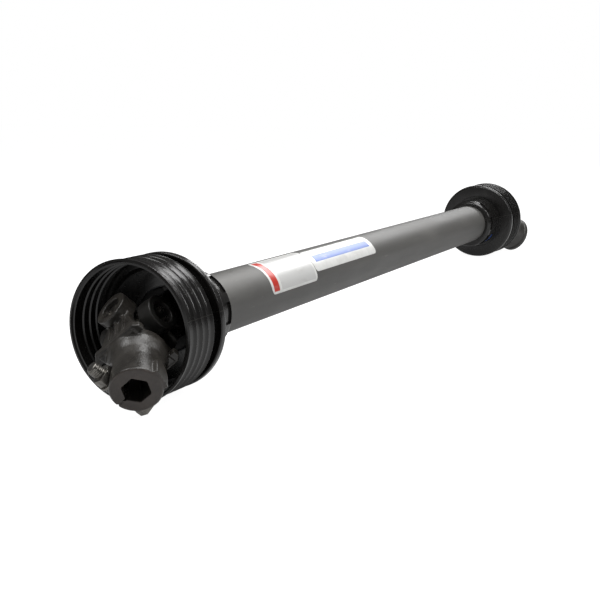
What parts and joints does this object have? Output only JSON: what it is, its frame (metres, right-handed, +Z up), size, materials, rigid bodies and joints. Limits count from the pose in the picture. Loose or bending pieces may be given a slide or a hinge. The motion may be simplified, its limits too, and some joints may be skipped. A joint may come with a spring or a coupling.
{
  "type": "telescopic cardan drive shaft",
  "caption": "Guarded telescopic drive shaft with a universal joint at each end, a hexagon clamp yoke, a splined quick-release yoke and black plastic guard cones.",
  "frame": {"origin": "on the floor under the middle of the shaft's centre line", "axes": "+X along the shaft from the hexagon clamp yoke to the splined yoke, +Z up from the floor that it lies on"},
  "size_m": [1.4528, 0.152, 0.15],
  "materials": {
    "cone_plastic": "satin black moulded polyethylene",
    "tube_plastic": "matt charcoal extruded tube, dusty and scuffed",
    "ring_nylon": "blue nylon",
    "yoke_forging": "dark painted forging, semi-matt",
    "profile_steel": "oiled drawn steel",
    "cross_steel": "dark ground steel",
    "cap_steel": "dark ground steel",
    "circlip_steel": "phosphated spring steel",
    "seal_rubber": "black rubber",
    "nipple_zinc": "yellow zinc plate",
    "bolt_steel": "zinc plated, dulled",
    "spring_steel": "plain spring steel",
    "collar_steel": "dark coated steel, worn on the edges"
  },
  "bodies": {
    "outer_guard": {"near_guard_cone": "cone_plastic", "near_bearing_ring": "ring_nylon", "outer_guard_tube": "tube_plastic"},
    "near_drive": {"near_inner_yoke": "yoke_forging", "near_inner_yoke_caps": "cap_steel", "near_inner_yoke_circlips": "circlip_steel", "outer_profile_tube": "profile_steel", "near_roll_pin": "spring_steel"},
    "near_spider": {"near_cross": "cross_steel", "near_cross_seals": "seal_rubber", "near_grease_nipple": "nipple_zinc"},
    "near_yoke": {"clamp_yoke": "yoke_forging", "clamp_yoke_caps": "cap_steel", "clamp_yoke_circlips": "circlip_steel", "pinch_bolt": "bolt_steel", "pinch_nut": "bolt_steel", "pinch_washer": "bolt_steel"},
    "inner_guard": {"far_guard_cone": "cone_plastic", "far_bearing_ring": "ring_nylon", "inner_guard_tube": "tube_plastic"},
    "far_drive": {"far_inner_yoke": "yoke_forging", "far_inner_yoke_caps": "cap_steel", "far_inner_yoke_circlips": "circlip_steel", "inner_profile_tube": "profile_steel", "far_roll_pin": "spring_steel"},
    "far_spider": {"far_cross": "cross_steel", "far_cross_seals": "seal_rubber", "far_grease_nipple": "nipple_zinc"},
    "far_yoke": {"spline_yoke": "yoke_forging", "spline_yoke_caps": "cap_steel", "spline_yoke_circlips": "circlip_steel", "lock_balls": "cap_steel", "lock_spring": "spring_steel", "lock_ring": "spring_steel"},
    "release_collar": {"lock_collar": "collar_steel"}
  },
  "joints": [
    {"name": "near_shaft_spin", "type": "hinge", "parent": "outer_guard", "child": "near_drive", "pos_m": [-0.6255, 0, 0.075], "axis": [1, 0, 0], "continuous": true},
    {"name": "near_cross_swing", "type": "hinge", "parent": "near_drive", "child": "near_spider", "pos_m": [-0.6255, 0, 0.075], "axis": [0, 0.8339, -0.5519], "range_deg": [-3.4, 80.6]},
    {"name": "near_yoke_tilt", "type": "hinge", "parent": "near_spider", "child": "near_yoke", "pos_m": [-0.6255, 0, 0.075], "axis": [-0.6239, 0.4314, 0.6517], "range_deg": [-37.4, 12.6]},
    {"name": "guard_telescope", "type": "slide", "parent": "outer_guard", "child": "inner_guard", "axis": [1, 0, 0], "range_m": [0, 0.38]},
    {"name": "far_shaft_spin", "type": "hinge", "parent": "inner_guard", "child": "far_drive", "pos_m": [0.6255, 0, 0.075], "axis": [1, 0, 0], "continuous": true},
    {"name": "far_cross_swing", "type": "hinge", "parent": "far_drive", "child": "far_spider", "pos_m": [0.6255, 0, 0.075], "axis": [0, 0.8339, -0.5519], "range_deg": [-73.8, 6.2]},
    {"name": "far_yoke_tilt", "type": "hinge", "parent": "far_spider", "child": "far_yoke", "pos_m": [0.6255, 0, 0.075], "axis": [0.5563, 0.4587, 0.6929], "range_deg": [-12.2, 27.8]},
    {"name": "lock_collar_pull", "type": "slide", "parent": "far_yoke", "child": "release_collar", "axis": [-0.8233, 0.4174, 0.3847], "range_m": [0, 0.012], "stiffness_N_per_m": 2500, "springref_m": -0.008, "deforming": ["lock_spring"]}
  ],
  "couplings": [
    {"joint": "far_shaft_spin", "follows": "near_shaft_spin", "ratio": 1}
  ]
}
